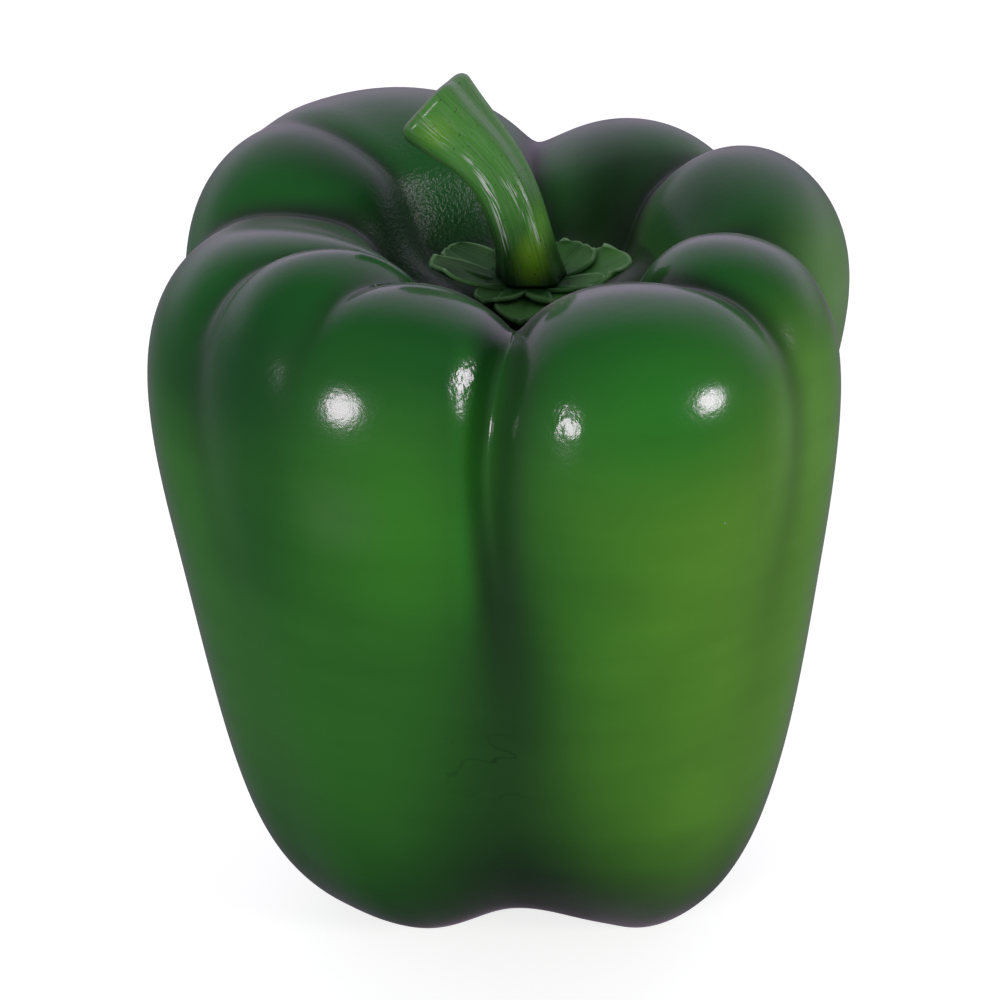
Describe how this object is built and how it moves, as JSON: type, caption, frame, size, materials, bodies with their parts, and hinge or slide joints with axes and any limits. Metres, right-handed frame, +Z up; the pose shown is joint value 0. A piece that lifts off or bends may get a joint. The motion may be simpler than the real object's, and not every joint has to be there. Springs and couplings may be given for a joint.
{
  "type": "bell pepper",
  "caption": "Blocky green bell pepper that stands upright on its lobes, with deep grooves, a calyx of spread sepals in the pit and a curved cut stem.",
  "frame": {"origin": "on the ground, under the middle of the whole pepper's bounding box", "axes": "+Z up along the standing pepper, -Y towards the front that the picture shows, +X to the right as seen from the front"},
  "size_m": [0.0863, 0.0865, 0.1088],
  "materials": {
    "fruit_skin": "very glossy waxy skin, mid green on the lobes, dark green in the grooves, at the top and at the base, yellow-green on the right belly",
    "calyx_green": "satin leafy green with fine radial veins and thin pale rims",
    "stem_green": "glossy yellow-green with lengthwise ridges and streaks, dark green at the foot and a dull cut end"
  },
  "bodies": {
    "root": {"fruit": "fruit_skin", "calyx": "calyx_green", "stem": "stem_green"}
  },
  "joints": []
}
